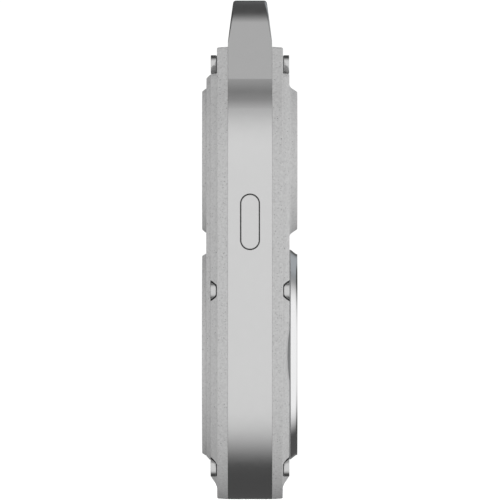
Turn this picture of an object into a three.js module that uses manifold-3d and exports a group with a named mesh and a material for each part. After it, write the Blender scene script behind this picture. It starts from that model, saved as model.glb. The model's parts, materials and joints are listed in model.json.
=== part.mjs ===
// Video doorbell: an aluminium band with a hanging loop, two speckled shells, a camera
// boss above a round bell button, and a twist-off battery cover at the back.
// Millimetres, +Z up, the front faces -Y and X runs across. The shapes are drawn with
// Z = 0 at the lowest point of the body and Y = 0 at the middle of the band. The whole
// assembly is then moved so that the origin is the centre of the wall boss's rear face.

import * as THREE from 'three';
import { mergeVertices } from 'three/addons/utils/BufferGeometryUtils.js';
import Module from 'manifold-3d';

const wasm = await Module();
wasm.setup();

// ---------- Driving dimensions ----------

// Outline of the body seen from the front.
const BODY_RADIUS = 35.5; // bottom half circle, and half the body's width
const BODY_HEIGHT = 132.94; // from the lowest point to the top of the loop
const SHOULDER_RADIUS = 36.5;
const SHOULDER_Z = 83.9; // height where the straight sides end
const SHOULDER_TILT = 40.4; // degrees from vertical where the shoulder ends
const SHOULDER_FLAT = 1.9; // straight stretch above the shoulder's curve
const NECK_TILT = 32.9; // degrees from vertical of the straight neck
const WAIST_RADIUS = 36.1; // hollow curve between the shoulder and the neck
const CORNER_RADIUS = 13.2; // rounded top of the hanging loop

// Depths, as distances from the middle plane of the band.
const BAND_HALF_DEPTH = 5.87;
const SHELL_FACE = 8.77; // flat rim of each shell
const PLATEAU_FACE = 10.45; // raised middle of each shell
const BACK_PLATE_FACE = 11.6;
const REAR_FACE = 12.74; // faces that rest against the wall
const FRONT_FACE = 12.6; // face of the camera boss and of the trim ring

// Heights.
const SHELL_TOP = 120.4;
const PLATEAU_TOP = 113.2;
const CAMERA_Z = 90.3; // centre of the camera boss and of the wall boss
const BELL_Z = 38.6; // centre of the bell button and of the battery cover

// Walls and clearances.
const BAND_WALL = 2.6;
const BAND_CHAMFER = 0.3;
const SHELL_SKIN = 1.8;
const SHELL_LIP = 0.9; // how far a shell's lip reaches into the band
const SHELL_WALL = 3.9; // from the outline to the shell's hollow
const SEAM = 0.12; // gap between two faces that rest on each other
const CLEAR = 0.3; // gap around a piece that sits in a cut

// Seal between the band and each shell, as insets from the outline.
const SEAL_INSETS = [1.1, 1.9];
const SEAL_GROOVE_INSETS = [0.95, 2.05];
const SEAL_GROOVE_DEPTH = 0.8;
const SEAL_DEPTH = 0.65;

// Hanging loop.
const LOOP_METAL = 4.0;
const LOOP_HOLE_FLOOR = 122.4;
const LOOP_TAPER_Z = 121.9;
const LOOP_TOP_HALF_DEPTH = 4.53;
const LOOP_TOP_CHAMFER = 0.9;

// Thumb scoops beside the trim ring, cut by a cylinder that lies across the front.
const SCOOP_RADIUS = 47;
const SCOOP_DEPTH = 0.9;

// Screws: one on the neck, two at the sides and two at the bottom of each face.
const SCREW_SIDE_X = 30.26;
const SCREW_TOP_Z = 115.9;
const SCREW_SIDE_Z = 55.7;
const SCREW_BOTTOM_X = 16.9;
const SCREW_BOTTOM_Z = 8.85;
const SCREW_HEAD_RADIUS = 2.5;
const SCREW_HEAD_HEIGHT = 1.68;
const SCREW_SHANK_RADIUS = 1.25;
const SCREW_SHANK_LENGTH = 6.6;
const SCREW_HOLE_RADIUS = 1.6;
const POCKET_RADIUS = 2.78;
const LUG_RADIUS = 3.3;

// Side button.
const SIDE_BUTTON_Z = 73.9;
const SIDE_BUTTON_WIDTH = 4.85;
const SIDE_BUTTON_LENGTH = 14.5;
const SIDE_BUTTON_GAP = 0.15;
const SIDE_BUTTON_TRAVEL = 0.5;
const FLANGE_RIM = 0.9; // how far the flange behind the band stands out, and where it ends

// Bell button and its trim ring.
const RING_BASE_RADIUS = 28.0;
const RING_FACE_RADIUS = 26.74;
const RING_BORE_RADIUS = 20.9;
const BELL_RADIUS = 18.6;
const BELL_STEM_RADIUS = 3.0;
const RING_SKIRT = 1.5; // wall of the ring's part inside the shell
const RING_CHAMFER = 0.35;

// Battery cover: a bayonet plug with three lugs.
const COVER_BASE_RADIUS = 26.9;
const COVER_FACE_RADIUS = 26.3;
const COVER_PLUG_RADIUS = 24.0;
const COVER_LUGS = 3;
const COVER_TURN = 25; // degrees from locked to free
const COVER_PLUG_END = 7.3;
const COVER_GROOVE = [9.3, 10.5]; // seal groove in the plug, as depths
const COVER_GROOVE_DEPTH = 0.7;

// Camera.
const WINDOW_RADIUS = 14.4;
const WINDOW_SEAT_DEPTH = 11.1;
const WINDOW_HOLE_RADIUS = 13.1;
const LAMP_X = 8.6;
const MICROPHONE_Z = (CAMERA_Z + BELL_Z) / 2 + 3.9;

// Circles of the visible discs and of the small parts.
const FINE = 48;
const COARSE = 16;
const SMALL = 12;

const DEGREE = Math.PI / 180;

// ---------- Materials ----------

const satinAluminium = new THREE.MeshStandardMaterial({ color: 0xc9cbcc, roughness: 0.32, metalness: 1 });
const polishedSteel = new THREE.MeshStandardMaterial({ color: 0xd8d9da, roughness: 0.12, metalness: 1 });
const screwSteel = new THREE.MeshStandardMaterial({ color: 0xbfc1c2, roughness: 0.25, metalness: 1 });
const springSteel = new THREE.MeshStandardMaterial({ color: 0xa9abad, roughness: 0.3, metalness: 1 });
const speckledPlastic = new THREE.MeshStandardMaterial({ color: 0xb9baba, roughness: 0.62, metalness: 0 });
const buttonPlastic = new THREE.MeshStandardMaterial({ color: 0xd9dada, roughness: 0.35, metalness: 0 });
const innerPlastic = new THREE.MeshStandardMaterial({ color: 0x4c4f52, roughness: 0.6, metalness: 0 });
const blackPlastic = new THREE.MeshStandardMaterial({ color: 0x17181a, roughness: 0.4, metalness: 0 });
const clearGlass = new THREE.MeshStandardMaterial({ color: 0x20242a, roughness: 0.05, metalness: 0 });
const diffuser = new THREE.MeshStandardMaterial({ color: 0xf0f2f2, roughness: 0.45, metalness: 0 });
const sealRubber = new THREE.MeshStandardMaterial({ color: 0x2b2c2e, roughness: 0.85, metalness: 0 });
const boardGreen = new THREE.MeshStandardMaterial({ color: 0x1f5a3a, roughness: 0.5, metalness: 0 });
const goldPlate = new THREE.MeshStandardMaterial({ color: 0xd6b25e, roughness: 0.3, metalness: 1 });
const cellWrap = new THREE.MeshStandardMaterial({ color: 0x3a5fa8, roughness: 0.45, metalness: 0 });

// ---------- Outlines: lists of (x, z) points, anticlockwise seen from the front ----------

// Adds an arc to a list. A negative radius gives a hollow arc, whose centre lies outside.
function addArc(points, centreX, centreZ, radius, fromDegrees, toDegrees, steps) {
  for (let i = 0; i <= steps; i += 1) {
    const angle = (fromDegrees + ((toDegrees - fromDegrees) * i) / steps) * DEGREE;
    points.push(new THREE.Vector2(centreX + radius * Math.cos(angle), centreZ + radius * Math.sin(angle)));
  }
}

// Completes an outline whose right half runs from the bottom centre to the top centre.
function mirrored(half) {
  const left = half
    .slice(1, -1)
    .reverse()
    .map((point) => new THREE.Vector2(-point.x, point.y));
  return [...half, ...left];
}

// Spreads every point above topZ along a flat top, so that the number of points stays the same.
function flattened(half, topZ) {
  const firstAbove = half.findIndex((point) => point.y > topZ);
  if (firstAbove < 0) return half;
  const below = half[firstAbove - 1];
  const above = half[firstAbove];
  const edgeX = THREE.MathUtils.mapLinear(topZ, below.y, above.y, below.x, above.x);
  const last = half.length - 1;
  return half.map((point, i) => {
    if (i < firstAbove) return point;
    return new THREE.Vector2((edgeX * (last - i)) / (last - firstAbove), topZ);
  });
}

// The body's outline, moved inwards by inset and cut off level at topZ. Its lowest point is
// lifted by a further rise, which fades out up the bottom half circle.
function bodyOutline(inset, topZ = Infinity, rise = 0) {
  const shoulder = SHOULDER_TILT * DEGREE;
  const neck = NECK_TILT * DEGREE;
  const shoulderX = BODY_RADIUS - SHOULDER_RADIUS;
  const waistReach = SHOULDER_RADIUS + WAIST_RADIUS;
  const waistX = shoulderX + waistReach * Math.cos(shoulder) - SHOULDER_FLAT * Math.sin(shoulder);
  const waistZ = SHOULDER_Z + waistReach * Math.sin(shoulder) + SHOULDER_FLAT * Math.cos(shoulder);
  const neckReach = WAIST_RADIUS + CORNER_RADIUS;
  const cornerZ = BODY_HEIGHT - CORNER_RADIUS;
  const neckRise = cornerZ - waistZ + neckReach * Math.sin(neck);
  const cornerX = waistX - neckReach * Math.cos(neck) - neckRise * Math.tan(neck);
  const half = [];
  addArc(half, 0, BODY_RADIUS, BODY_RADIUS - inset, -90, 0, 14);
  half.forEach((point) => {
    point.y += rise * (1 - point.y / BODY_RADIUS);
  });
  addArc(half, shoulderX, SHOULDER_Z, SHOULDER_RADIUS - inset, 0, SHOULDER_TILT, 7);
  addArc(half, waistX, waistZ, -(WAIST_RADIUS + inset), SHOULDER_TILT, NECK_TILT, 3);
  addArc(half, cornerX, cornerZ, CORNER_RADIUS - inset, NECK_TILT, 90, 7);
  half.push(new THREE.Vector2(0, cornerZ + CORNER_RADIUS - inset));
  return mirrored(flattened(half, topZ));
}

// Two discs, one above the other, joined by their common tangents.
function twoDiscOutline(upperRadius, lowerRadius) {
  const tangent = Math.asin((lowerRadius - upperRadius) / (CAMERA_Z - BELL_Z)) / DEGREE;
  const half = [];
  addArc(half, 0, BELL_Z, lowerRadius, -90, tangent, 14);
  addArc(half, 0, CAMERA_Z, upperRadius, tangent, 90, 10);
  return mirrored(half);
}

function circleOutline(radius, segments, centreX = 0, centreZ = 0) {
  const points = [];
  addArc(points, centreX, centreZ, radius, 0, 360 - 360 / segments, segments - 1);
  return points;
}

// A rectangle with round corners; with the largest corner radius it is a pill.
function roundedOutline(width, height, corner, centreX = 0, centreZ = 0, steps = 4) {
  const dx = width / 2 - corner;
  const dz = height / 2 - corner;
  const points = [];
  [[dx, dz, 0], [-dx, dz, 90], [-dx, -dz, 180], [dx, -dz, 270]].forEach(([x, z, start]) => {
    addArc(points, centreX + x, centreZ + z, corner, start, start + 90, steps);
  });
  return points.filter((point, i) => point.distanceTo(points[(i + 1) % points.length]) > 1e-6);
}

// ---------- Solids ----------

// Turns a closed three.js geometry into a solid that can be cut and joined.
function solidOf(geometry) {
  const bare = geometry.clone();
  bare.deleteAttribute('normal');
  bare.deleteAttribute('uv');
  const merged = mergeVertices(bare, 1e-4);
  const corners = [];
  for (let i = 0; i < merged.index.count; i += 3) {
    const [a, b, c] = [0, 1, 2].map((k) => merged.index.getX(i + k));
    if (a !== b && b !== c && c !== a) corners.push(a, b, c);
  }
  const vertProperties = new Float32Array(merged.attributes.position.array);
  const triVerts = new Uint32Array(corners);
  const solid = new wasm.Manifold(new wasm.Mesh({ numProp: 3, vertProperties, triVerts }));
  if (solid.volume() > 0) return solid;
  const turned = new Uint32Array(corners.length);
  corners.forEach((corner, i) => {
    turned[i - (i % 3) + (2 - (i % 3))] = corner;
  });
  return new wasm.Manifold(new wasm.Mesh({ numProp: 3, vertProperties, triVerts: turned }));
}

function geometryOf(solid) {
  const mesh = solid.getMesh();
  const geometry = new THREE.BufferGeometry();
  geometry.setAttribute('position', new THREE.BufferAttribute(new Float32Array(mesh.vertProperties), 3));
  geometry.setIndex(new THREE.BufferAttribute(new Uint32Array(mesh.triVerts), 1));
  const flat = geometry.toNonIndexed();
  flat.computeVertexNormals();
  return flat;
}

// Joins outlines of equal length, each at its own depth along Y, into one closed solid.
function loft(sections) {
  const clockwise = THREE.ShapeUtils.isClockWise(sections[0].outline);
  const rings = sections.map(({ outline, y }) => {
    return { outline: clockwise ? outline.toReversed() : outline, y };
  });
  const count = rings[0].outline.length;
  const positions = rings.flatMap(({ outline, y }) => outline.flatMap((point) => [point.x, y, point.y]));
  const corners = [];
  for (let r = 0; r < rings.length - 1; r += 1) {
    for (let i = 0; i < count; i += 1) {
      const a = r * count + i;
      const b = r * count + ((i + 1) % count);
      corners.push(a, b, b + count, a, b + count, a + count);
    }
  }
  const lastRing = (rings.length - 1) * count;
  THREE.ShapeUtils.triangulateShape(rings[0].outline, []).forEach(([a, b, c]) => corners.push(c, b, a));
  THREE.ShapeUtils.triangulateShape(rings.at(-1).outline, []).forEach(([a, b, c]) => {
    corners.push(lastRing + a, lastRing + b, lastRing + c);
  });
  const geometry = new THREE.BufferGeometry();
  geometry.setAttribute('position', new THREE.Float32BufferAttribute(positions, 3));
  geometry.setIndex(corners);
  return solidOf(geometry);
}

// A straight-sided solid between two depths.
function prism(outline, fromY, toY) {
  return loft([{ outline, y: fromY }, { outline, y: toY }]);
}

// A straight-sided solid along X from an outline of (y, z) points.
function sidePrism(outline, fromX, toX) {
  const quarterTurn = new THREE.Matrix4().makeRotationZ(-Math.PI / 2);
  const flipped = outline.map((point) => new THREE.Vector2(-point.x, point.y));
  return transformed(prism(flipped, fromX, toX), quarterTurn);
}

function transformed(solid, matrix) {
  return solidOf(geometryOf(solid).applyMatrix4(matrix));
}

// A solid of revolution about a line parallel to Y; the profile lists (radius, y) points.
function turned(profile, centreZ, segments = FINE, centreX = 0) {
  const points = profile.map(([radius, y]) => new THREE.Vector2(radius, y));
  const geometry = new THREE.LatheGeometry(points, segments);
  geometry.translate(centreX, 0, centreZ);
  return solidOf(geometry);
}

// A flat ring about a line parallel to Y.
function washer(innerRadius, outerRadius, fromY, toY, centreZ, segments = FINE) {
  const corners = [[innerRadius, fromY], [outerRadius, fromY], [outerRadius, toY], [innerRadius, toY]];
  return turned([...corners, corners[0]], centreZ, segments);
}

function disc(radius, fromY, toY, centreX, centreZ, segments = COARSE) {
  return prism(circleOutline(radius, segments, centreX, centreZ), fromY, toY);
}

function block(centreX, fromY, toY, centreZ, width, height) {
  const geometry = new THREE.BoxGeometry(width, toY - fromY, height);
  geometry.translate(centreX, (fromY + toY) / 2, centreZ);
  return solidOf(geometry);
}

// A copy turned about the line parallel to Y through (0, centreZ), by the right-hand rule.
function turnedAbout(solid, centreZ, degrees) {
  const matrix = new THREE.Matrix4()
    .makeTranslation(0, 0, centreZ)
    .multiply(new THREE.Matrix4().makeRotationY(degrees * DEGREE))
    .multiply(new THREE.Matrix4().makeTranslation(0, 0, -centreZ));
  return transformed(solid, matrix);
}

function joined(solids) {
  return solids.reduce((whole, solid) => whole.add(solid));
}

function cut(solid, cutters) {
  return cutters.reduce((rest, cutter) => rest.subtract(cutter), solid);
}

// A copy moved from the front half to the rear half.
function toRear(solid) {
  return solidOf(geometryOf(solid).applyMatrix4(new THREE.Matrix4().makeScale(1, -1, 1)));
}

// ---------- Screw places ----------

function screwPlaces() {
  return [
    { name: 'top', x: 0, z: SCREW_TOP_Z },
    { name: 'side_left', x: -SCREW_SIDE_X, z: SCREW_SIDE_Z },
    { name: 'side_right', x: SCREW_SIDE_X, z: SCREW_SIDE_Z },
    { name: 'bottom_left', x: -SCREW_BOTTOM_X, z: SCREW_BOTTOM_Z },
    { name: 'bottom_right', x: SCREW_BOTTOM_X, z: SCREW_BOTTOM_Z },
  ];
}

// ---------- Assembly ----------

const doorbell = new THREE.Group();
doorbell.position.set(0, -REAR_FACE, -CAMERA_Z);

function addPart(name, solid, material) {
  const mesh = new THREE.Mesh(geometryOf(solid), material);
  mesh.name = name;
  doorbell.add(mesh);
}

// Band: the satin frame all round the side, solid above the shells, where it is the loop.
function bandFrame() {
  const edge = BAND_HALF_DEPTH - BAND_CHAMFER;
  const outer = loft([
    { outline: bodyOutline(BAND_CHAMFER), y: -BAND_HALF_DEPTH },
    { outline: bodyOutline(0), y: -edge },
    { outline: bodyOutline(0), y: edge },
    { outline: bodyOutline(BAND_CHAMFER), y: BAND_HALF_DEPTH },
  ]);
  const topZ = BODY_HEIGHT + BAND_CHAMFER;
  const sideProfile = [
    [BAND_HALF_DEPTH + 1, -1],
    [BAND_HALF_DEPTH + 1, LOOP_TAPER_Z],
    [BAND_HALF_DEPTH, LOOP_TAPER_Z],
    [LOOP_TOP_HALF_DEPTH + 0.1, topZ - LOOP_TOP_CHAMFER],
    [LOOP_TOP_HALF_DEPTH + 0.1 - LOOP_TOP_CHAMFER, topZ],
  ];
  const both = [...sideProfile, ...sideProfile.map(([y, z]) => [-y, z]).reverse()];
  const taper = sidePrism(both.map(([y, z]) => new THREE.Vector2(y, z)), -BODY_RADIUS - 1, BODY_RADIUS + 1);
  const reach = BAND_HALF_DEPTH + 1;
  const lugs = screwPlaces().map(({ x, z }) => disc(LUG_RADIUS, -reach, reach, x, z));
  const cavityTop = SCREW_TOP_Z - LUG_RADIUS - 0.9;
  const cavity = cut(prism(bodyOutline(BAND_WALL, cavityTop), -reach, reach), lugs);
  const belowHole = block(0, -reach - 1, reach + 1, LOOP_HOLE_FLOOR - 100, 200, 200);
  const loopHole = prism(bodyOutline(LOOP_METAL), -reach, reach).subtract(belowHole);
  const screwHoles = screwPlaces().map(({ x, z }) => disc(SCREW_HOLE_RADIUS, -reach, reach, x, z, SMALL));
  const slotWidth = SIDE_BUTTON_WIDTH + 2 * SIDE_BUTTON_GAP;
  const slotLength = SIDE_BUTTON_LENGTH + 2 * SIDE_BUTTON_GAP;
  const slotOutline = roundedOutline(slotWidth, slotLength, slotWidth / 2, 0, SIDE_BUTTON_Z, 8);
  const buttonSlot = sidePrism(slotOutline, -BODY_RADIUS - 1, -BODY_RADIUS + BAND_WALL + 1);
  const soundSlots = [-7, -4, 4, 7].map((x) => block(x, -1.8, 1.8, 0, 1.2, 10));
  const grooveFloor = BAND_HALF_DEPTH - SEAL_GROOVE_DEPTH;
  const grooves = [[grooveFloor, reach], [-reach, -grooveFloor]].map(([from, to]) => {
    return sealLoop(SEAL_GROOVE_INSETS, from, to);
  });
  const holes = [cavity, loopHole, buttonSlot, ...screwHoles, ...soundSlots, ...grooves];
  return cut(outer.intersect(taper), holes);
}

// A loop between two insets of the shells' outline, as the seals and their grooves are.
function sealLoop([fromInset, toInset], fromY, toY) {
  const outside = prism(bodyOutline(fromInset, SHELL_TOP - fromInset), fromY, toY);
  return outside.subtract(prism(bodyOutline(toInset, SHELL_TOP - toInset), fromY - 1, toY + 1));
}

function gasket() {
  return sealLoop(SEAL_INSETS, -BAND_HALF_DEPTH - SEAM / 2, -BAND_HALF_DEPTH + SEAL_DEPTH);
}

// One shell, drawn as the front one: a flat rim, and a raised plateau with hollow slopes.
function plainShell() {
  const seamY = -BAND_HALF_DEPTH - SEAM;
  const rim = loft([
    { outline: bodyOutline(0, SHELL_TOP), y: seamY },
    { outline: bodyOutline(0.2, SHELL_TOP - 0.2), y: -SHELL_FACE + 0.4 },
    { outline: bodyOutline(0.55, SHELL_TOP - 0.5), y: -SHELL_FACE },
  ]);
  const slope = [[2.75, 0.29, SHELL_FACE], [3, 1.05, 9.12], [3.45, 1.62, 9.63], [4.3, 2.15, PLATEAU_FACE]];
  const plateau = loft(slope.map(([inset, rise, depth]) => ({
    outline: bodyOutline(inset, PLATEAU_TOP + (PLATEAU_FACE - depth) * 0.1, rise),
    y: -depth,
  })));
  const lipTop = SCREW_TOP_Z - LUG_RADIUS - 1.2;
  const innerY = -BAND_HALF_DEPTH + SHELL_LIP;
  const openY = innerY + 1;
  const lip = prism(bodyOutline(BAND_WALL + CLEAR, lipTop), -BAND_HALF_DEPTH - 1, innerY);
  const wideCavity = prism(bodyOutline(SHELL_WALL, lipTop - 1), -SHELL_FACE + SHELL_SKIN, openY);
  const deepInset = SHELL_WALL + 3.3;
  const deepCavity = prism(bodyOutline(deepInset, lipTop - 2), -PLATEAU_FACE + SHELL_SKIN, openY);
  const places = screwPlaces();
  const columns = places.map(({ x, z }) => disc(LUG_RADIUS + 0.6, -SHELL_FACE - 1, seamY, x, z));
  const lugRooms = places.map(({ x, z }) => disc(LUG_RADIUS + CLEAR, seamY, openY, x, z));
  const pockets = places.map(({ x, z }) => disc(POCKET_RADIUS, -PLATEAU_FACE - 1, -SHELL_FACE, x, z));
  const holes = places.map(({ x, z }) => disc(SCREW_HOLE_RADIUS, -PLATEAU_FACE, openY, x, z, SMALL));
  const hollow = cut(joined([wideCavity, deepCavity]), columns);
  return cut(joined([rim, plateau, lip]), [hollow, ...lugRooms, ...pockets, ...holes]);
}

function frontShell() {
  const boss = turned(
    [
      [0, -9], [20.4, -9], [20.4, -PLATEAU_FACE], [19.8, -10.75], [18.7, -12.15], [18.26, -FRONT_FACE],
      [0, -FRONT_FACE],
    ],
    CAMERA_Z,
  );
  const inside = -7.5; // clear of the shell's inner face
  const windowSeat = disc(WINDOW_RADIUS + CLEAR, -FRONT_FACE - 1, -WINDOW_SEAT_DEPTH, 0, CAMERA_Z, FINE);
  const windowHole = disc(WINDOW_HOLE_RADIUS, -FRONT_FACE, inside, 0, CAMERA_Z, FINE);
  const ringHole = disc(RING_BORE_RADIUS + RING_SKIRT + CLEAR, -FRONT_FACE, inside, 0, BELL_Z, FINE);
  const micHole = disc(0.6, -FRONT_FACE, inside, 0, MICROPHONE_Z, SMALL);
  return cut(plainShell().add(boss), [windowSeat, windowHole, ringHole, micHole, thumbScoop()]);
}

// A shallow hollow across both sides of the plateau, beside the trim ring.
function thumbScoop() {
  const halfAngle = 20;
  const centreY = -PLATEAU_FACE + SCOOP_DEPTH - SCOOP_RADIUS;
  const outline = [];
  addArc(outline, centreY, BELL_Z, SCOOP_RADIUS, -halfAngle, halfAngle, 24);
  const across = sidePrism(outline, -BODY_RADIUS, BODY_RADIUS);
  return across.subtract(disc(RING_BASE_RADIUS + 0.2, -120, 0, 0, BELL_Z, FINE));
}

// One copy of a solid for each lug of the battery cover.
function aroundCover(solid, startDegrees) {
  const places = [...Array(COVER_LUGS).keys()];
  return places.map((i) => turnedAbout(solid, BELL_Z, (360 / COVER_LUGS) * i + startDegrees));
}

function bayonetNotches(fromY, toY) {
  const notch = block(0, fromY, toY, BELL_Z + COVER_PLUG_RADIUS - 1, 6.8, 5.4);
  return aroundCover(notch, COVER_TURN);
}

function rearShell() {
  const opening = disc(COVER_PLUG_RADIUS + CLEAR, 7.5, PLATEAU_FACE + 2, 0, BELL_Z, FINE);
  return cut(toRear(plainShell()), [opening, ...bayonetNotches(7.5, PLATEAU_FACE + 2)]);
}

// The plate that joins the two rear bosses.
function backPlate() {
  const plate = loft([
    { outline: twoDiscOutline(22.9, 28.1), y: PLATEAU_FACE + SEAM },
    { outline: twoDiscOutline(22.7, 27.9), y: PLATEAU_FACE + SEAM + 0.25 },
    { outline: twoDiscOutline(21.9, 27.1), y: BACK_PLATE_FACE },
  ]);
  const opening = disc(COVER_PLUG_RADIUS + CLEAR, 9, REAR_FACE, 0, BELL_Z, FINE);
  return cut(plate, [opening, ...bayonetNotches(9, REAR_FACE)]);
}

function wallBoss() {
  const base = BACK_PLATE_FACE + SEAM;
  return turned([[0, base], [19.2, base], [19.1, base + 0.25], [18.4, REAR_FACE], [0, REAR_FACE]], CAMERA_Z);
}

function batteryCover() {
  const base = BACK_PLATE_FACE + SEAM;
  const inner = COVER_PLUG_RADIUS - 1.2;
  const grooveFloor = COVER_PLUG_RADIUS - COVER_GROOVE_DEPTH;
  const [grooveStart, grooveEnd] = COVER_GROOVE;
  const body = turned(
    [
      [0, 11.2], [inner, 11.2], [inner, COVER_PLUG_END], [COVER_PLUG_RADIUS, COVER_PLUG_END],
      [COVER_PLUG_RADIUS, grooveStart], [grooveFloor, grooveStart], [grooveFloor, grooveEnd],
      [COVER_PLUG_RADIUS, grooveEnd], [COVER_PLUG_RADIUS, base], [COVER_BASE_RADIUS, base],
      [COVER_BASE_RADIUS - 0.1, base + 0.25], [COVER_FACE_RADIUS, REAR_FACE], [0, REAR_FACE],
    ],
    BELL_Z,
  );
  const lug = block(0, COVER_PLUG_END, 8.4, BELL_Z + COVER_PLUG_RADIUS + 0.3, 6.0, 2.2);
  const coinSlot = prism(roundedOutline(18, 2.4, 1.2, 0, BELL_Z), REAR_FACE - 0.9, REAR_FACE + 1);
  return joined([body, ...aroundCover(lug, 0)]).subtract(coinSlot);
}

function coverSeal() {
  const inner = COVER_PLUG_RADIUS - COVER_GROOVE_DEPTH + 0.15;
  const [grooveStart, grooveEnd] = COVER_GROOVE;
  return washer(inner, COVER_PLUG_RADIUS + 0.12, grooveStart + 0.15, grooveEnd - 0.15, BELL_Z, FINE);
}

// Pan-head screw with a hexagonal socket, drawn pointing out of the front at the origin.
function screw(x, z) {
  const head = -SHELL_FACE - SCREW_HEAD_HEIGHT;
  const seat = -SHELL_FACE - 0.03;
  const tip = seat + SCREW_SHANK_LENGTH;
  const body = turned(
    [
      [0, head], [SCREW_HEAD_RADIUS - 0.45, head], [SCREW_HEAD_RADIUS - 0.1, head + 0.2],
      [SCREW_HEAD_RADIUS, head + 0.55], [SCREW_HEAD_RADIUS, seat], [SCREW_SHANK_RADIUS, seat],
      [SCREW_SHANK_RADIUS, tip], [0, tip],
    ],
    z,
    COARSE,
    x,
  );
  return body.subtract(disc(0.85, head - 1, head + 0.9, x, z, 6));
}

function screws() {
  screwPlaces().forEach(({ name, x, z }) => {
    addPart(`front_screw_${name}`, screw(x, z), screwSteel);
    addPart(`rear_screw_${name}`, toRear(screw(x, z)), screwSteel);
  });
}

// Camera: window, mask, lens stack, board and two infrared lamps.
function camera() {
  addPart('camera_window', disc(WINDOW_RADIUS, -12.45, -11.25, 0, CAMERA_Z, FINE), clearGlass);
  const maskHoles = [[5.2, 0], [1.9, -LAMP_X], [1.9, LAMP_X]].map(([radius, x]) => {
    return disc(radius, -12, -9, x, CAMERA_Z);
  });
  addPart('camera_mask', cut(disc(12.8, -11.0, -10.2, 0, CAMERA_Z, FINE), maskHoles), blackPlastic);
  const barrelProfile = [
    [3.9, -9.2], [3.9, -10.9], [4.9, -10.9], [4.9, -7.6], [4.5, -7.6], [4.5, -4.9], [2.6, -4.9],
    [2.6, -9.2], [3.9, -9.2],
  ];
  addPart('lens_barrel', turned(barrelProfile, CAMERA_Z, COARSE), blackPlastic);
  const lensProfile = [[0, -10.75], [1.6, -10.6], [2.8, -10.15], [3.6, -9.5], [3.6, -9.35], [0, -9.35]];
  addPart('front_lens', turned(lensProfile, CAMERA_Z, COARSE), clearGlass);
  const holder = block(0, -7.4, -3.75, CAMERA_Z, 12.5, 12.5).subtract(disc(5.2, -8, -3, 0, CAMERA_Z));
  addPart('lens_holder', holder, blackPlastic);
  addPart('image_sensor', block(0, -4.6, -3.75, CAMERA_Z, 6.2, 6.2), clearGlass);
  addPart('camera_board', block(0, -3.6, -2.6, CAMERA_Z, 22, 22), boardGreen);
  [['left', -LAMP_X], ['right', LAMP_X]].forEach(([side, x]) => {
    const lamp = turned([[0, -10.0], [1.0, -9.75], [1.5, -9.0], [1.5, -3.75], [0, -3.75]], CAMERA_Z, SMALL, x);
    addPart(`infrared_lamp_${side}`, lamp, clearGlass);
  });
}

// Bell: trim ring, light ring, push button, guide, spring and switch.
function trimRing() {
  const underside = -PLATEAU_FACE - CLEAR;
  const skirtRadius = RING_BORE_RADIUS + RING_SKIRT;
  const skirtEnd = -8.2;
  return turned(
    [
      [RING_BORE_RADIUS, skirtEnd], [skirtRadius, skirtEnd], [skirtRadius, underside],
      [RING_BASE_RADIUS, underside], [RING_BASE_RADIUS - 0.05, underside - 0.25],
      [RING_FACE_RADIUS + 0.1, -FRONT_FACE + 0.4], [RING_FACE_RADIUS, -FRONT_FACE],
      [RING_BORE_RADIUS + RING_CHAMFER, -FRONT_FACE], [RING_BORE_RADIUS, -FRONT_FACE + RING_CHAMFER],
      [RING_BORE_RADIUS, skirtEnd],
    ],
    BELL_Z,
    64,
  );
}

function bellButton() {
  const rim = BELL_RADIUS - 1.2;
  return turned(
    [
      [0, -11.75], [8, -11.85], [14, -12.1], [16.8, -12.35], [BELL_RADIUS - 0.5, -12.35],
      [BELL_RADIUS, -11.85], [BELL_RADIUS, -9.4], [rim, -9.4], [rim, -10.9],
      [BELL_STEM_RADIUS, -10.9], [BELL_STEM_RADIUS, -5.3], [0, -5.3],
    ],
    BELL_Z,
  );
}

function buttonGuide() {
  return turned(
    [
      [3.3, -7.4], [19.2, -7.4], [19.2, -10.3], [20.6, -10.3], [20.6, -7.9], [25, -7.9], [25, -6.6],
      [4.6, -6.6], [4.6, -5.7], [3.3, -5.7], [3.3, -7.4],
    ],
    BELL_Z,
    32,
  );
}

class SpringPath extends THREE.Curve {
  constructor(radius, turns, fromY, toY, centreZ) {
    super();
    Object.assign(this, { radius, turns, fromY, toY, centreZ });
  }

  getPoint(t, target = new THREE.Vector3()) {
    const angle = t * this.turns * 2 * Math.PI;
    const y = this.fromY + (this.toY - this.fromY) * t;
    return target.set(this.radius * Math.cos(angle), y, this.centreZ + this.radius * Math.sin(angle));
  }
}

function bellSpring() {
  const wire = 0.3;
  const path = new SpringPath(6.6, 2.5, -10.4, -7.9, BELL_Z);
  const section = new THREE.Shape(circleOutline(wire, 5));
  return solidOf(new THREE.ExtrudeGeometry(section, { steps: 30, extrudePath: path, curveSegments: 1 }));
}

function bell() {
  addPart('trim_ring', trimRing(), polishedSteel);
  addPart('light_ring', washer(19.1, 20.6, -12.2, -10.6, BELL_Z), diffuser);
  addPart('bell_button', bellButton(), buttonPlastic);
  addPart('button_guide', buttonGuide(), innerPlastic);
  addPart('light_board', washer(8.5, 18.7, -8.2, -7.6, BELL_Z, 32), boardGreen);
  addPart('bell_spring', bellSpring(), springSteel);
  const bore = disc(1.7, -6, -2.4, 0, BELL_Z, SMALL);
  addPart('bell_switch', block(0, -3.9, -2.15, BELL_Z, 6.2, 6.2).subtract(bore), blackPlastic);
  addPart('bell_plunger', disc(1.35, -5.15, -3.3, 0, BELL_Z, SMALL), innerPlastic);
}

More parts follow.
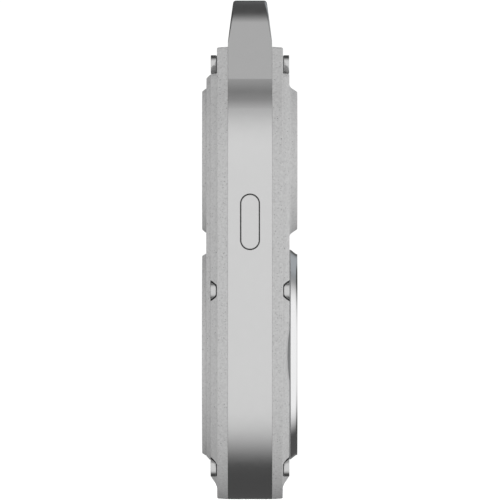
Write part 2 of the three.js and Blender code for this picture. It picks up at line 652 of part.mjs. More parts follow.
// Side button: a flush pill with a flange behind the band, its switch and a small board.
function sideButton() {
  const face = -BODY_RADIUS;
  const inner = -BODY_RADIUS + BAND_WALL;
  const radius = SIDE_BUTTON_WIDTH / 2;
  const back = inner + FLANGE_RIM;
  const capOutline = roundedOutline(SIDE_BUTTON_WIDTH, SIDE_BUTTON_LENGTH, radius, 0, SIDE_BUTTON_Z, 8);
  const flangeWidth = SIDE_BUTTON_WIDTH + 2 * FLANGE_RIM;
  const flangeLength = SIDE_BUTTON_LENGTH + 2 * FLANGE_RIM;
  const flangeOutline = roundedOutline(flangeWidth, flangeLength, flangeWidth / 2, 0, SIDE_BUTTON_Z, 6);
  const flange = sidePrism(flangeOutline, inner + CLEAR, back);
  addPart('side_button', sidePrism(capOutline, face, back).add(flange), satinAluminium);
  const switchFace = -30.0;
  const switchBack = -27.6;
  const housing = sidePrism(roundedOutline(5, 6.5, 0.3, 0, SIDE_BUTTON_Z, 1), switchFace, switchBack);
  const bore = sidePrism(circleOutline(1.3, SMALL, 0, SIDE_BUTTON_Z), switchFace - 1, switchBack - 0.5);
  addPart('side_switch', housing.subtract(bore), blackPlastic);
  const plungerEnd = switchBack - 0.7 - SIDE_BUTTON_TRAVEL;
  const plunger = sidePrism(circleOutline(1.0, SMALL, 0, SIDE_BUTTON_Z), back + SEAM, plungerEnd);
  addPart('side_plunger', plunger, innerPlastic);
  addPart('side_board', sidePrism(roundedOutline(8, 17, 0.5, 0, SIDE_BUTTON_Z, 1), -27.5, -26.6), boardGreen);
}

// Boards, radio, sound and power inside the band.
function electronics() {
  const board = prism(bodyOutline(9.3, 104), -2.0, -0.8);
  addPart('main_board', board.subtract(block(0, -3, 0, 2.8, 80, 20)), boardGreen);
  addPart('shield_can', prism(roundedOutline(28, 18, 1, 0, 77, 1), -0.65, 1.9), screwSteel);
  addPart('antenna', prism(roundedOutline(26, 6, 1, 0, 97, 1), -0.65, -0.1), goldPlate);
  addPart('speaker', prism(roundedOutline(18, 8, 2, 0, 7.8, 2), -4.4, 4.4), blackPlastic);
  addPart('microphone', prism(roundedOutline(3.8, 3, 0.3, 0, MICROPHONE_Z, 1), -3.3, -2.15), screwSteel);
  addPart('microphone_boot', washer(0.8, 1.9, -8.4, -3.45, MICROPHONE_Z, SMALL), sealRubber);
}

function battery() {
  const contactX = 9;
  const contactZ = BELL_Z + 12;
  const trayOuter = prism(roundedOutline(38.4, 38.4, 7, 0, BELL_Z), 0.5, 6.9);
  const trayInner = prism(roundedOutline(35.6, 35.6, 6, 0, BELL_Z), 1.0, 8);
  const windows = [-contactX, contactX].map((x) => block(x, 0, 2, contactZ, 4.6, 6.6));
  addPart('battery_tray', cut(trayOuter, [trayInner, ...windows]), innerPlastic);
  addPart('battery_pack', prism(roundedOutline(34.4, 34.4, 6, 0, BELL_Z), 1.3, 9.6), cellWrap);
  [['plus', -contactX], ['minus', contactX]].forEach(([pole, x]) => {
    addPart(`battery_contact_${pole}`, block(x, -0.65, 1.15, contactZ, 4, 6), goldPlate);
  });
}

addPart('band_frame', bandFrame(), satinAluminium);
addPart('front_shell', frontShell(), speckledPlastic);
addPart('rear_shell', rearShell(), speckledPlastic);
addPart('front_gasket', gasket(), sealRubber);
addPart('rear_gasket', toRear(gasket()), sealRubber);
addPart('back_plate', backPlate(), speckledPlastic);
addPart('wall_boss', wallBoss(), speckledPlastic);
addPart('battery_cover', batteryCover(), speckledPlastic);
addPart('battery_cover_seal', coverSeal(), sealRubber);
camera();
bell();
sideButton();
electronics();
battery();
screws();

export default doorbell;
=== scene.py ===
"""Looks of the video doorbell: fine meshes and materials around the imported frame.

Shapes are drawn in millimetres as (across, depth, height): across is X, depth runs from the
middle plane of the band towards the wall, and height starts at the lowest point of the body.
"""

import json
import math

import bmesh
import bpy
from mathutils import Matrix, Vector


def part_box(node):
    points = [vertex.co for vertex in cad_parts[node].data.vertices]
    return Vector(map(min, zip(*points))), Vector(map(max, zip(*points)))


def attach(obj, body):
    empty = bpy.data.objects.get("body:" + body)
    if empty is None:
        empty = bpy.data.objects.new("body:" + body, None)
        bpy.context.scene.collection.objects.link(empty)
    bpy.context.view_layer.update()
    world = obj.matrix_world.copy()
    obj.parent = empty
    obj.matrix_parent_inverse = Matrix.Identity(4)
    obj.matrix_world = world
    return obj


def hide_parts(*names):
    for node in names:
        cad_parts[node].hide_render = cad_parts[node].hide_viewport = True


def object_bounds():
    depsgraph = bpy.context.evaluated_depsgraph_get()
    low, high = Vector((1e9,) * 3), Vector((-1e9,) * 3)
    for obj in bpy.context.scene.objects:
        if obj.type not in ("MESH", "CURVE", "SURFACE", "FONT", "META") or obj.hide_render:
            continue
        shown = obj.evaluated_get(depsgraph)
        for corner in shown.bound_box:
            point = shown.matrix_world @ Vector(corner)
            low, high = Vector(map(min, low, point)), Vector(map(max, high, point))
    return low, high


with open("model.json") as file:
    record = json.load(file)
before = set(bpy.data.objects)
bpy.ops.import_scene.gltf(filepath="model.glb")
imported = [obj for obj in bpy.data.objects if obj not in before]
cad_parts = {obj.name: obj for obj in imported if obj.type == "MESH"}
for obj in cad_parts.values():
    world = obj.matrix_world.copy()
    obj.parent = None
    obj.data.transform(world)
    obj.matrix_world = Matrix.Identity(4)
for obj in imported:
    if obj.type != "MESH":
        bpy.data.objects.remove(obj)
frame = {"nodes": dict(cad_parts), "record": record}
cad_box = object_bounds()

MM = 0.001

# ---------- Places and sizes, from the frame ----------

band_low, band_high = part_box("band_frame")
MID_Y = (band_low.y + band_high.y) / 2
BASE_Z = band_low.z
BAND_TOP = (band_high.z - BASE_Z) / MM


def drawn_box(node):
    """A CAD node's box as (across, depth, height) in millimetres."""
    return [(c.x / MM, (c.y - MID_Y) / MM, (c.z - BASE_Z) / MM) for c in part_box(node)]


def middle(node):
    """The middle of a CAD node's box, in the same millimetres."""
    low, high = drawn_box(node)
    return [(a + b) / 2 for a, b in zip(low, high)]


BODY_RADIUS = drawn_box("band_frame")[1][0]
BAND_DEPTH = drawn_box("band_frame")[1][1]
SHELL_TOP = drawn_box("rear_shell")[1][2]
PLATEAU_FACE = drawn_box("rear_shell")[1][1]
BACK_PLATE_FACE = drawn_box("back_plate")[1][1]
BOSS_BASE = drawn_box("wall_boss")[0][1]
REAR_FACE = drawn_box("wall_boss")[1][1]
FRONT_FACE = -drawn_box("trim_ring")[0][1]
CAMERA_Z = middle("camera_window")[2]
BELL_Z = middle("trim_ring")[2]
WINDOW_RADIUS = drawn_box("camera_window")[1][0]
RING_BASE_RADIUS = drawn_box("trim_ring")[1][0]
BELL_RADIUS = drawn_box("bell_button")[1][0]
SCREW_HEAD_RADIUS = drawn_box("front_screw_top")[1][0]
SIDE_BUTTON_Z = middle("side_button")[2]

# Outline of the body seen from the front, within 0.2 mm of the CAD model's. A shoulder arc is
# (radius, tilt at its end), and a negative radius is hollow.
SHOULDER_Z = 83.9
SHOULDER_ARCS = ((36.5, 33.0), (28.6, 39.2), (80.0, 41.2), (-56.0, 36.8))
NECK_TILT = 32.9
CORNER_RADIUS = 13.2

# Depths and fits that no box gives.
SCREW_HEAD_HEIGHT = 1.68
SHELL_FACE = PLATEAU_FACE - SCREW_HEAD_HEIGHT
CLEAR = 0.3
HAIRLINE = 0.02  # joint between two faces that close on each other
BAND_WALL = 2.6
CAVITY_TOP = 111.7
SOUND_SLOTS = (-7, -4, 4, 7)
SOUND_SLOT_WIDTH = 1.2
SOUND_SLOT_DEPTH = 3.6
SHELL_SKIN = 1.8
LIP_TOP = 111.4
LIP_HEIGHT = 0.9  # how far a shell's lip reaches into the band
SHELL_INSIDE = 7.5  # depth at which the openings through a shell end
PLATEAU_TOP = 113.2
PLATEAU_CORNER = 3.0
TOP_LEAN = 0.1
TOP_DRAW = 0.6
TOP_DRAW_START = 6.2
# The plateau's slope: insets at the bottom of the body, and the matching insets at its sides.
SLOPE_INSETS = ((0, 0), (2.5, 2.35), (3.04, 2.75), (4.05, 3.0), (5.07, 3.45), (6.45, 4.3), (8.45, 6.3))
LOOP_METAL = 4.0
LOOP_FLOOR = 122.4
LOOP_TAPER_Z = 121.9
LOOP_TOP_DEPTH = 4.53
LOOP_EDGE = 0.8
BAND_EDGE = 0.05
POCKET_RADIUS = 2.9
POCKET_FLARE = 0.6
SCREW_HOLE_RADIUS = 1.6
SCREW_LENGTH = 6.6  # under the head
LUG_RADIUS = 3.3
BOSS_FOOT = 9.4
BOSS_FOOT_RADIUS = 21.4
BOSS_SIDE_RADIUS = 19.75
BOSS_FACE_RADIUS = 18.3
WINDOW_SEAT = 11.1
WINDOW_BACK = 11.25
WINDOW_FACE = 12.45
CAMERA_BORE_RADIUS = 13.1
INFRARED_X = 8.6  # infrared lamps, each side of the lens
BUTTON_FACE = 12.35
BUTTON_DISH = 0.6
RING_BORE_RADIUS = 20.9
RING_SKIRT = 1.5
RING_GAP = 0.16
RING_SIDE_RADIUS = 26.84
RING_FACE_RADIUS = 26.74
SCOOP_RADIUS = 47.0
SCOOP_DEPTH = 0.5  # below the plateau, beside the trim ring
SCOOP_ANGLE = 20  # degrees of the scoop's arc on each side of its middle
SCOOP_SLOPE = 0.125
SCOOP_EDGE = 31.9  # distance from the middle at which the scoop's floor bends down
SCOOP_EDGE_DROP = 0.35
HEAD_LIFT = 0.2  # room for the black washer under a screw's head, which paints the shade at its seat
SIDE_BUTTON_WIDTH = 4.85
SIDE_BUTTON_LENGTH = 14.5
SIDE_BUTTON_GAP = 0.2
SIDE_BUTTON_HEEL = 0.9  # how far the side button reaches past the band's wall
SIDE_SLOT_FLARE = 0.06
PLATE_UPPER_RADIUS = 22.9
PLATE_LOWER_RADIUS = 28.1
PLUG_RADIUS = 24.0
PLUG_END = 7.3
COVER_RADIUS = 26.9
WALL_BOSS_RADIUS = 19.2
COVER_LUGS = 3
COVER_TURN = 25

# Steps of round shapes.
ARC_STEP = 2.5  # degrees between points on large arcs
ARC_FEWEST = 6
NECK_STEPS = (0.008, *(i / 16 for i in range(1, 16)))  # shares of the neck's length
RING_CIRCLE = 240
CIRCLE = 160
SMALL_CIRCLE = 48
PILL_STEPS = 24
SCOOP_STEPS = 48

# Camera.
LENS = 1000.0
SENSOR_WIDTH = 36.0
VIEW_MARGIN = 1.0027

# Strength of the studio's lights, and the directions (x, y or z) at which each starts and is full.
DARK = 0.085
MAIN_LIGHT = 0.90
MAIN_EDGE = (0.15, -0.82)
FRONT_LIGHT = 1.0
FRONT_EDGE = (-0.60, -0.86)
REAR_LIGHT = 0.6
REAR_EDGE = (0.80, 0.97)
FAR_LIGHT = 0.18
FAR_EDGE = (0.3, 0.75)
FAR_TOP_EDGE = (0.15, -0.05)
FAR_BOTTOM_EDGE = (-0.36, -0.18)
COOL_LIGHT = 0.34
COOL_DIRECTION = (0.74, -0.43, 0.51)
COOL_EDGE = (0.88, 0.99)
BACKDROP_LIGHT = 1.05
FLOOR_POWER = 42.0
FAR_FILL = 4.0
REAR_FILL = 2.5
FRONT_FILL = 1.2


# ---------- Points ----------

def arc(centre_x, centre_z, radius, start, end):
    """Points on an arc. A negative radius gives a hollow arc, whose centre lies outside."""
    steps = max(ARC_FEWEST, round(abs(end - start) / ARC_STEP))
    angles = [math.radians(start + (end - start) * i / steps) for i in range(steps + 1)]
    return [(centre_x + radius * math.cos(a), centre_z + radius * math.sin(a)) for a in angles]


def rounded(corners, step=12.0):
    """A path with its corners rounded. Each corner is (a, b) or (a, b, radius)."""
    path = []
    for i, corner in enumerate(corners):
        here = Vector(corner[:2])
        if len(corner) < 3 or i in (0, len(corners) - 1):
            path.append(tuple(here))
            continue
        to_last = (Vector(corners[i - 1][:2]) - here).normalized()
        to_next = (Vector(corners[i + 1][:2]) - here).normalized()
        half = to_last.angle(to_next) / 2
        centre = here + (to_last + to_next).normalized() * (corner[2] / math.sin(half))
        first = here + to_last * (corner[2] / math.tan(half)) - centre
        last = here + to_next * (corner[2] / math.tan(half)) - centre
        turn = math.pi - 2 * half
        steps = max(2, math.ceil(math.degrees(turn) / step))
        for k in range(steps + 1):
            t = k / steps
            mixed = (first * math.sin((1 - t) * turn) + last * math.sin(t * turn)) / math.sin(turn)
            path.append(tuple(centre + mixed))
    return path


def cut_level(half, top, radius):
    """Cuts a half outline off level at the height top, with a round corner.

    It keeps its number of points, so that outlines with and without a cut can share a loft.
    """
    above = next((i for i, point in enumerate(half) if point[1] > top), None)
    if above is None:
        return half
    low, high = Vector(half[above - 1]), Vector(half[above])
    corner = low.lerp(high, (top - low.y) / (high.y - low.y))
    spare = len(half) - above
    path = rounded([tuple(low), (*corner, radius), (0, top)], 6.0)[1:-1]
    flat = spare - len(path)
    start = path[-1][0]
    level = [(start * (1 - (i + 1) / flat), top) for i in range(flat)]
    return half[:above] + path + level


def body_outline(inset, top=None, corner=1.2, rise=0.0):
    """The body's outline, moved inwards by inset and cut off level at top.

    Its lowest point is lifted by a further rise, which fades out up the bottom half circle.
    """
    half = arc(0, BODY_RADIUS, BODY_RADIUS - inset, -90, 0)
    half = [(x, z + rise * (1 - z / BODY_RADIUS)) for x, z in half]
    middle_x, middle_z, last_radius, tilt = 0, SHOULDER_Z, BODY_RADIUS, 0
    for radius, end in SHOULDER_ARCS:
        middle_x += (last_radius - radius) * math.cos(math.radians(tilt))
        middle_z += (last_radius - radius) * math.sin(math.radians(tilt))
        half += arc(middle_x, middle_z, radius - inset, tilt, end)
        last_radius, tilt = radius, end
    neck_x = middle_x + radius * math.cos(math.radians(tilt))
    neck_z = middle_z + radius * math.sin(math.radians(tilt))
    neck = math.radians(NECK_TILT)
    corner_z = BAND_TOP - CORNER_RADIUS
    neck_rise = corner_z + CORNER_RADIUS * math.sin(neck) - neck_z
    corner_x = neck_x - neck_rise * math.tan(neck) - CORNER_RADIUS * math.cos(neck)
    loop = arc(corner_x, corner_z, CORNER_RADIUS - inset, NECK_TILT, 90)
    low, high = Vector(half[-1]), Vector(loop[0])
    if top is None:
        half += [tuple(low.lerp(high, share)) for share in NECK_STEPS]
    half += loop
    half.append((0, corner_z + CORNER_RADIUS - inset))
    if top is not None:
        half = cut_level(half, top, corner)
    return half + [(-x, z) for x, z in reversed(half[1:-1])]


def circle(radius, segments, x, z):
    """Points on a circle seen along the depth, as (across, height)."""
    angles = [2 * math.pi * i / segments for i in range(segments)]
    return [(x + radius * math.cos(a), z + radius * math.sin(a)) for a in angles]


def pill(width, length, z):
    """A rectangle with half-round ends, standing on end, as (depth, height) points."""
    radius, reach = width / 2, (length - width) / 2
    path = []
    for start, centre_z in ((0, z + reach), (180, z - reach)):
        angles = [math.radians(start + 180 * i / PILL_STEPS) for i in range(PILL_STEPS + 1)]
        path += [(radius * math.cos(a), centre_z + radius * math.sin(a)) for a in angles]
    return path


def lying_pill(width, length, z):
    """The same shape lying across, seen along the depth, as (across, height) points."""
    return [(height, z + depth) for depth, height in pill(width, length, 0)]


def two_discs(upper, lower):
    """Two discs, one above the other, joined by their common tangents."""
    tangent = math.degrees(math.asin((lower - upper) / (CAMERA_Z - BELL_Z)))
    half = arc(0, BELL_Z, lower, -90, tangent) + arc(0, CAMERA_Z, upper, tangent, 90)
    return half + [(-x, z) for x, z in reversed(half[1:-1])]


# ---------- Meshes ----------

def to_frame(point):
    """A drawn point in the frame's metres."""
    x, y, z = point
    return (x * MM, MID_Y + y * MM, BASE_Z + z * MM)


def solid(name, points, faces):
    """A closed mesh object from drawn points, with its faces turned outwards."""
    mesh = bpy.data.meshes.new(name)
    mesh.from_pydata([to_frame(p) for p in points], [], faces)
    bm = bmesh.new()
    bm.from_mesh(mesh)
    bmesh.ops.remove_doubles(bm, verts=bm.verts, dist=1e-7)
    bmesh.ops.recalc_face_normals(bm, faces=bm.faces)
    if bm.calc_volume(signed=True) < 0:
        bmesh.ops.reverse_faces(bm, faces=bm.faces)
    bm.to_mesh(mesh)
    bm.free()
    obj = bpy.data.objects.new(name, mesh)
    bpy.context.scene.collection.objects.link(obj)
    return obj


def ring_faces(rings, count):
    """Faces of a closed skin over a number of rings of count points each, with flat ends."""
    faces = []
    for r in range(rings - 1):
        for i in range(count):
            a, b = r * count + i, r * count + (i + 1) % count
            faces.append((a, b, b + count, a + count))
    last = (rings - 1) * count
    faces.append(tuple(reversed(range(count))))
    faces.append(tuple(range(last, last + count)))
    return faces


def loft(name, rings):
    """A closed solid through rings of equal length. A ring is (outline, depth).

    The depth is a number or a function of height.
    """
    points = []
    for outline, depth in rings:
        points += [(x, depth(z) if callable(depth) else depth, z) for x, z in outline]
    return solid(name, points, ring_faces(len(rings), len(rings[0][0])))


def prism(name, outline, start, end):
    """A straight solid along the depth, from start to end."""
    return loft(name, [(outline, start), (outline, end)])


def side_loft(name, rings):
    """A closed solid along X from rings of (outline of (depth, height), across)."""
    points = [(x, y, z) for outline, x in rings for y, z in outline]
    return solid(name, points, ring_faces(len(rings), len(rings[0][0])))


def turned(name, profile, z, segments=CIRCLE, x=0.0):
    """A solid of revolution about a line along the depth. The profile lists (radius, depth)."""
    points, faces = [], []
    count = len(profile)
    for i in range(segments):
        angle = 2 * math.pi * i / segments
        points += [(x + r * math.cos(angle), y, z + r * math.sin(angle)) for r, y in profile]
    for i in range(segments):
        for k in range(count - 1):
            a, b = i * count + k, (i + 1) % segments * count + k
            face = (a, b, b + 1, a + 1)
            if profile[k][0] < 1e-9:
                face = (a, b + 1, a + 1)
            elif profile[k + 1][0] < 1e-9:
                face = (a, b, a + 1)
            faces.append(face)
    return solid(name, points, faces)


def pipe(inner, outer, start, end):
    """The profile of a turned pipe or washer."""
    return [(inner, start), (outer, start), (outer, end), (inner, end), (inner, start)]


def disc(radius, start, end, x, z, segments=SMALL_CIRCLE):
    """A round solid along the depth."""
    return prism("disc", circle(radius, segments, x, z), start, end)


def block(low, high):
    """A box between two corners."""
    (x0, y0, z0), (x1, y1, z1) = low, high
    outline = [(x0, z0), (x1, z0), (x1, z1), (x0, z1)]
    return prism("block", outline, y0, y1)


def combine(obj, others, operation):
    """Joins or cuts obj with other solids, which are used up."""
    for other in others:
        step = obj.modifiers.new(operation.lower(), "BOOLEAN")
        step.operation = operation
        step.object = other
        step.solver = "MANIFOLD"
    graph = bpy.context.evaluated_depsgraph_get()
    mesh = bpy.data.meshes.new_from_object(obj.evaluated_get(graph))
    obj.modifiers.clear()
    obj.data = mesh
    for other in others:
        bpy.data.objects.remove(other)
    return obj


def cut(obj, others):
    return combine(obj, others, "DIFFERENCE")


def join(obj, others):
    return combine(obj, others, "UNION")


def turn_about(obj, z, degrees):
    """Turns a solid about the line along the depth through (0, z), by the right-hand rule."""
    s, c = math.sin(math.radians(degrees)), math.cos(math.radians(degrees))
    centre = BASE_Z + z * MM
    for vertex in obj.data.vertices:
        x, dz = vertex.co.x, vertex.co.z - centre
        vertex.co.x, vertex.co.z = x * c + dz * s, centre - x * s + dz * c
    return obj


def mirror_depth(obj):
    """Turns a front piece into the matching rear piece."""
    for vertex in obj.data.vertices:
        vertex.co.y = 2 * MID_Y - vertex.co.y
    obj.data.flip_normals()
    return obj


# ---------- Pieces ----------

def finish_piece(obj, name, body, slot_name, nodes=None, sharp=32.0):
    """Names a piece, smooths it, gives it its material and puts it in place of its CAD node."""
    obj.name = name
    obj.data.name = name
    bm = bmesh.new()
    bm.from_mesh(obj.data)
    bmesh.ops.remove_doubles(bm, verts=bm.verts, dist=2e-6)
    bmesh.ops.dissolve_degenerate(bm, edges=bm.edges, dist=1e-6)
    bm.to_mesh(obj.data)
    bm.free()
    obj.data.shade_smooth()
    obj.data.set_sharp_from_angle(angle=math.radians(sharp))
    even = obj.modifiers.new("even_normals", "WEIGHTED_NORMAL")
    even.keep_sharp = True
    even.weight = 80
    obj.data.materials.clear()
    obj.data.materials.append(materials[slot_name])
    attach(obj, body)
    if nodes is None:
        nodes = [name.removeprefix("fine_")]
    if nodes:
        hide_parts(*nodes)
    return obj


SCREW_PLACES = {
    node.removeprefix("front_screw_"): (middle(node)[0], middle(node)[2])
    for node in frame["nodes"]
    if node.startswith("front_screw_")
}


def loop_share(height):
    """How far up the hanging loop's taper a height is, from 0 to 1."""
    return min(max((height - LOOP_TAPER_Z) / (BAND_TOP - LOOP_TAPER_Z), 0), 1)


def loop_depth(height):
    """Half the band's depth, which tapers up the hanging loop."""
    return BAND_DEPTH + (LOOP_TOP_DEPTH - BAND_DEPTH) * loop_share(height)


def loop_edge(height):
    """Width of the band's rounded edge, which grows up the hanging loop."""
    return BAND_EDGE + (LOOP_EDGE - BAND_EDGE) * math.sqrt(loop_share(height))


def band_surface():
    """The band without its openings, with a quarter-round edge at each side."""
    plain = body_outline(0)
    inner = body_outline(1.0)
    quarter = [math.radians(90 * i / 4) for i in range(5)]
    turns = [(-1, angle) for angle in quarter] + [(1, angle) for angle in reversed(quarter)]
    points = []
    for side, angle in turns:
        for (x, z), (inner_x, inner_z) in zip(plain, inner):
            edge = loop_edge(z)
            inset = edge * (1 - math.sin(angle))
            depth = side * (loop_depth(z) - edge * (1 - math.cos(angle)))
            points.append((x + (inner_x - x) * inset, depth, z + (inner_z - z) * inset))
    return solid("band", points, ring_faces(len(turns), len(plain)))


def loop_hole():
    """The hole of the hanging loop, with softened edges."""
    edge = ((0.5, 0.02), (0.15, -0.15), (0, -0.5))  # (widening, distance past the band's edge)
    rings = []
    for side, steps in ((-1, edge), (1, reversed(edge))):
        for wider, past in steps:
            outline = body_outline(LOOP_METAL - wider)
            rings.append((outline, lambda z, a=side, b=past: a * (loop_depth(z) + b)))
    return cut(loft("hole", rings), [block((-60, -20, -20), (60, 20, LOOP_FLOOR))])


def side_slot():
    """The side button's opening in the band, with a small flare outwards."""
    width = SIDE_BUTTON_WIDTH + 2 * SIDE_BUTTON_GAP
    length = SIDE_BUTTON_LENGTH + 2 * SIDE_BUTTON_GAP
    flare = 2 * SIDE_SLOT_FLARE
    wall = -BODY_RADIUS
    return side_loft("slot", [
        (pill(width + flare + 1, length + flare + 1, SIDE_BUTTON_Z), wall - 0.5),
        (pill(width + flare, length + flare, SIDE_BUTTON_Z), wall - 0.001),
        (pill(width, length, SIDE_BUTTON_Z), wall + SIDE_SLOT_FLARE),
        (pill(width, length, SIDE_BUTTON_Z), wall + BAND_WALL + 1),
    ])


def sound_slots(low, high):
    """Blocks that fill the sound slots in the band's lowest wall, between two heights."""
    wide, deep = SOUND_SLOT_WIDTH / 2, SOUND_SLOT_DEPTH / 2
    return [block((x - wide, -deep, low), (x + wide, deep, high)) for x in SOUND_SLOTS]


def seal_groove(side, reach):
    """The groove for a shell's seal, all round one edge of the band."""
    outer, inner = 0.95, 2.05
    low, high = sorted((side * (BAND_DEPTH - 0.8), side * reach))
    outside = prism("outside", body_outline(outer, SHELL_TOP - outer), low, high)
    inside = prism("inside", body_outline(inner, SHELL_TOP - inner), low - 1, high + 1)
    return cut(outside, [inside])


def band():
    """The band with its cavity, loop, button slot, screw holes, sound slots and seal grooves."""
    obj = band_surface()
    reach = BAND_DEPTH + 1
    places = SCREW_PLACES.values()
    cavity = prism("cavity", body_outline(BAND_WALL, CAVITY_TOP), -reach, reach)
    cut(cavity, [disc(LUG_RADIUS, -reach - 1, reach + 1, x, z) for x, z in places])
    hole = loop_hole()
    slot = side_slot()
    holes = [disc(SCREW_HOLE_RADIUS, -reach, reach, x, z) for x, z in places]
    grooves = [seal_groove(side, reach) for side in (-1, 1)]
    cut(obj, [cavity, hole, slot, *holes, *sound_slots(-5, 5), *grooves])
    return finish_piece(obj, "fine_band_frame", "housing", "satin_aluminium", sharp=25.0)


def sound_mesh():
    """Fine steel mesh that fills the sound slots, flush with the band."""
    fills = sound_slots(-1, 2.2)
    obj = join(fills[0], fills[1:])
    combine(obj, [prism("inside", body_outline(0), -3, 3)], "INTERSECT")
    return finish_piece(obj, "sound_mesh", "housing", "screw_steel", nodes=())


def side_inset(total):
    """Inset of the plateau's slope at the sides, for its inset at the bottom of the body."""
    for (low, low_side), (high, high_side) in zip(SLOPE_INSETS, SLOPE_INSETS[1:]):
        if total <= high:
            return low_side + (high_side - low_side) * (total - low) / (high - low)
    return total


def shell_surface():
    """The outside of a shell, drawn as the front one: a flat rim and a plateau with hollow slopes."""
    seam = BAND_DEPTH + HAIRLINE
    rim = rounded([(0, seam), (0.2, SHELL_FACE, 0.42), (2.3, SHELL_FACE)])
    slope = rounded([
        (2.5, SHELL_FACE), (3.04, SHELL_FACE, 0.3), (4.05, SHELL_FACE + 0.35, 1.5),
        (5.07, SHELL_FACE + 0.86, 2.0), (6.45, PLATEAU_FACE, 0.3), (7.2, PLATEAU_FACE),
    ])[1:]
    rings = [(body_outline(inset, SHELL_TOP - inset), -depth) for inset, depth in rim]
    for total, depth in slope:
        # The top wall leans a little, and the last rings draw in over the plateau's face.
        top = PLATEAU_TOP + (PLATEAU_FACE - depth) * TOP_LEAN - max(0, total - TOP_DRAW_START) * TOP_DRAW
        inset = side_inset(total)
        rings.append((body_outline(inset, top, PLATEAU_CORNER, total - inset), -depth))
    return loft("shell", rings)


def plain_shell():
    """One shell without its bosses and openings, drawn as the front one."""
    obj = shell_surface()
    seam = -BAND_DEPTH - HAIRLINE
    inner = -BAND_DEPTH + LIP_HEIGHT
    join(obj, [prism("lip", body_outline(BAND_WALL + CLEAR, LIP_TOP), -BAND_DEPTH - 1, inner)])
    places = SCREW_PLACES.values()
    hollow = prism("wide", body_outline(3.9, LIP_TOP - 1), -7.0, inner + 1)
    deep = prism("deep", body_outline(7.2, LIP_TOP - 2), -PLATEAU_FACE + SHELL_SKIN, inner + 0.7)
    join(hollow, [deep])
    cut(hollow, [disc(3.9, -SHELL_FACE - 1, seam, x, z) for x, z in places])
    rooms = [disc(LUG_RADIUS + CLEAR, seam, inner + 1.3, x, z) for x, z in places]
    top = -PLATEAU_FACE - 0.48
    pocket = rounded([
        (0, -SHELL_FACE), (POCKET_RADIUS, -SHELL_FACE, 0.12),
        (POCKET_RADIUS, top + POCKET_FLARE, 0.1), (POCKET_RADIUS + POCKET_FLARE, top), (0, top),
    ])
    pockets = [turned("pocket", pocket, z, SMALL_CIRCLE * 2, x) for x, z in places]
    holes = [disc(SCREW_HOLE_RADIUS, -PLATEAU_FACE, inner + 1, x, z) for x, z in places]
    return cut(obj, [hollow, *rooms, *pockets, *holes])


def thumb_scoop():
    """A shallow hollow across both sides of the plateau, beside the trim ring. It deepens outwards."""
    half = [
        (RING_BASE_RADIUS, 0), (SCOOP_EDGE, 0),
        (SCOOP_EDGE + 0.4, SCOOP_EDGE_DROP), (BODY_RADIUS, SCOOP_EDGE_DROP),
    ]
    rings = []
    for x, drop in [(-x, drop) for x, drop in reversed(half)] + half:
        deepest = SCOOP_DEPTH + (abs(x) - RING_BASE_RADIUS) * SCOOP_SLOPE + drop
        centre = -PLATEAU_FACE + deepest - SCOOP_RADIUS
        turns = [SCOOP_ANGLE * (2 * i / SCOOP_STEPS - 1) for i in range(SCOOP_STEPS + 1)]
        angles = [math.radians(turn) for turn in turns]
        outline = [(SCOOP_RADIUS * math.cos(a), SCOOP_RADIUS * math.sin(a)) for a in angles]
        rings.append(([(centre + depth, BELL_Z + height) for depth, height in outline], x))
    return cut(side_loft("scoop", rings), [disc(RING_BASE_RADIUS - 0.3, -120, 0, 0, BELL_Z, CIRCLE)])


def front_shell():
    """The front shell: it adds the camera's boss, the openings and the thumb scoop."""
    obj = plain_shell()
    boss = rounded([
        (0, -BOSS_FOOT), (BOSS_FOOT_RADIUS, -BOSS_FOOT), (BOSS_FOOT_RADIUS, -PLATEAU_FACE + 0.02),
        (BOSS_SIDE_RADIUS, -PLATEAU_FACE - 0.02, 1.6), (BOSS_FACE_RADIUS, -FRONT_FACE, 0.3),
        (0, -FRONT_FACE),
    ], 8.0)
    join(obj, [turned("boss", boss, CAMERA_Z)])
    seat_radius = WINDOW_RADIUS + CLEAR
    seat = rounded([
        (0, -WINDOW_SEAT), (seat_radius, -WINDOW_SEAT), (seat_radius, -FRONT_FACE + 0.3, 0.2),
        (seat_radius + 1.2, -FRONT_FACE - 0.9), (0, -FRONT_FACE - 0.9),
    ])
    mic_z = middle("microphone")[2]
    cutters = [
        turned("seat", seat, CAMERA_Z),
        disc(CAMERA_BORE_RADIUS, -FRONT_FACE, -SHELL_INSIDE, 0, CAMERA_Z, CIRCLE),
        disc(RING_BORE_RADIUS + RING_SKIRT + CLEAR, -FRONT_FACE, -SHELL_INSIDE, 0, BELL_Z, CIRCLE),
        disc(0.6, -FRONT_FACE, -SHELL_INSIDE, 0, mic_z),
        thumb_scoop(),
    ]
    cut(obj, cutters)
    return finish_piece(obj, "fine_front_shell", "housing", "speckled_plastic")


def notches(start, end):
    """Cutters for the notches that the battery cover's lugs pass through."""
    found = []
    for i in range(COVER_LUGS):
        notch = block((-3.4, start, BELL_Z + PLUG_RADIUS - 3.7), (3.4, end, BELL_Z + PLUG_RADIUS + 1.7))
        found.append(turn_about(notch, BELL_Z, 360 / COVER_LUGS * i + COVER_TURN))
    return found


def rear_shell():
    """The rear shell, with its opening for the battery cover."""
    obj = mirror_depth(plain_shell())
    opening = disc(PLUG_RADIUS + CLEAR, SHELL_INSIDE, PLATEAU_FACE + 2, 0, BELL_Z, CIRCLE)
    cut(obj, [opening, *notches(SHELL_INSIDE, PLATEAU_FACE + 2)])
    return finish_piece(obj, "fine_rear_shell", "housing", "speckled_plastic")


